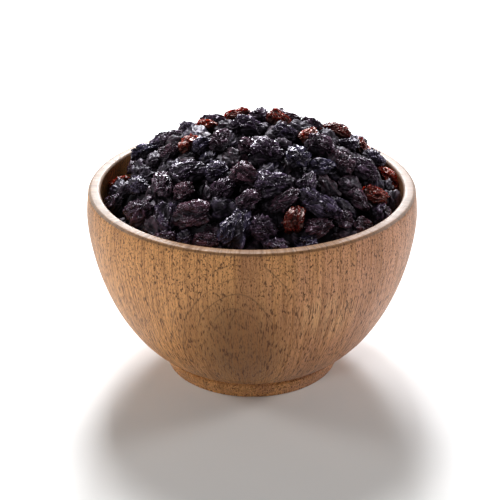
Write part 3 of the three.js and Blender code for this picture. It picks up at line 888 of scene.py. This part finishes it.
# The studio: a dim even room, and soft boxes overhead, behind, at both sides and in front.
# A soft box: place and size in metres, power in watts, tint.
ROOM_STRENGTH = 0.1
ROOM_TINT = color(0.95, 0.97, 1.0)
OVERHEAD_BOX = ((-0.05, 0.5, 0.7), 0.25, 9, (1.0, 1.0, 1.0))
BACK_BOX = ((0.0, 0.75, 0.4), 0.2, 8, (0.95, 0.97, 1.0))
LEFT_BOX = ((-0.7, 0.1, 0.35), 0.2, 2, (1.0, 0.98, 0.95))
RIGHT_BOX = ((0.7, 0.1, 0.35), 0.2, 2.5, (1.0, 0.98, 0.96))
FRONT_BOX = ((-0.3, -0.75, 0.5), 0.2, 2, (1.0, 0.97, 0.93))
LIT_PLACE = (0, 0, 0.05)
FLOOR_DARKER = color(0.73, 0.73, 0.73)
FLOOR_PALER = color(0.75, 0.75, 0.75)
FLOOR_REACH = 4.0
FLOOR_GRAIN_SCALE = 40.0
FLOOR_ROUGHNESS = 0.7
FLOOR_RELIEF = 0.02
FLOOR_GRAIN_DEPTH = 0.1
FILM_WIDTH = 36
NEAREST_SIGHT = 0.01


def soft_box(name, place, size, power, tint):
    light = bpy.data.lights.new(name, "AREA")
    light.size = size
    light.energy = power
    light.color = tint
    lamp = bpy.data.objects.new(name, light)
    lamp.location = place
    lamp.rotation_euler = (Vector(LIT_PLACE) - Vector(place)).to_track_quat("-Z", "Y").to_euler()
    bpy.context.scene.collection.objects.link(lamp)


def make_stage():
    shader = Shader("pale_floor")
    place = shader.add("ShaderNodeTexCoord").outputs["Object"]
    grain = shader.noise(place, FLOOR_GRAIN_SCALE, 3.0)
    tint = shader.mix(grain, FLOOR_DARKER, FLOOR_PALER)
    inputs = {"Base Color": tint, "Roughness": FLOOR_ROUGHNESS}
    material = shader.finish(inputs, grain, FLOOR_RELIEF, FLOOR_GRAIN_DEPTH * MM)
    corners = np.array(((-1, -1, 0), (1, -1, 0), (1, 1, 0), (-1, 1, 0))) * (FLOOR_REACH / MM)
    floor = make_mesh("floor", corners, np.array([(0, 1, 2, 3)]), material)
    world = bpy.data.worlds.new("studio")
    world.use_nodes = True
    background = world.node_tree.nodes["Background"]
    background.inputs["Color"].default_value = ROOM_TINT
    background.inputs["Strength"].default_value = ROOM_STRENGTH
    bpy.context.scene.world = world
    bpy.context.scene.view_settings.view_transform = "Standard"
    soft_box("overhead_soft_box", *OVERHEAD_BOX)
    soft_box("back_soft_box", *BACK_BOX)
    soft_box("left_soft_box", *LEFT_BOX)
    soft_box("right_soft_box", *RIGHT_BOX)
    soft_box("front_soft_box", *FRONT_BOX)


def make_camera():
    camera = bpy.data.cameras.new("camera")
    camera.sensor_width = FILM_WIDTH
    camera.lens = VIEW_FOCAL_PIXELS * camera.sensor_width / VIEW_PIXELS
    camera.shift_x = -(VIEW_AIM_PIXEL[0] - VIEW_PIXELS / 2) / VIEW_PIXELS
    camera.shift_y = (VIEW_AIM_PIXEL[1] - VIEW_PIXELS / 2) / VIEW_PIXELS
    camera.clip_start = NEAREST_SIGHT
    eye = bpy.data.objects.new("camera", camera)
    eye.location = Vector(VIEW_AIM + VIEW_BACK * VIEW_DISTANCE) * MM
    eye.rotation_euler = (math.pi / 2 - VIEW_ELEVATION, 0, 0)
    bpy.context.scene.collection.objects.link(eye)
    bpy.context.scene.camera = eye


def sector_name(raisin):
    x, y = raisin["place"][:2]
    if math.hypot(x, y) < MIDDLE_RADIUS:
        return "middle"
    quarter = int(((math.atan2(y, x) + math.pi / 4) % (2 * math.pi)) // (math.pi / 2))
    return SECTORS[quarter]


def make_bowl():
    points, faces = revolve(bowl_outline(), BOWL_SIDES)
    bowl = make_mesh("wooden_bowl", points, np.array(faces, dtype=object), wood_material())
    dress(bowl, "bowl")


def make_heap():
    spheres = {kind: unit_sphere(steps) for kind, steps in SKIN_STEPS.items()}
    dark = raisin_material("dark_raisin_skin", DARK_SKIN, {})
    red = raisin_material("red_raisin_skin", RED_SKIN, RED_GLOW)
    raisins = list(enumerate(lay_raisins()))
    for name in ("middle", *SECTORS):
        members = [(i, r) for i, r in raisins if r["kind"] in ("seen", "back") and sector_name(r) == name]
        dress(raisin_piece(f"raisins_{name}", members, spheres, dark), "raisin_heap")
    for kind in ("deep", "under"):
        members = [(i, r) for i, r in raisins if r["kind"] == kind]
        dress(raisin_piece(f"raisins_{kind}", members, spheres, dark), "raisin_heap")
    points, faces = core_surface()
    even = np.zeros(len(points))
    # The heap's middle is painted black all over: painted shade for the raisins that lie hidden deep in the
    # heap.
    marks = {"fold_depth_and_shade": even + 1, "crest_bloom_and_highlight": even, "skin": points, "tone": even}
    core = make_mesh("heap_middle", points, np.array(faces, dtype=object), dark, marks)
    dress(core, "raisin_heap")
    reds = [member for member in raisins if member[1]["kind"] == "red"]
    for number, member in enumerate(reds, 1):
        name = f"raisin_red_{number:02d}"
        dress(raisin_piece(f"{name}_skin", [member], spheres, red), name)


make_camera()
make_stage()
make_bowl()
make_heap()
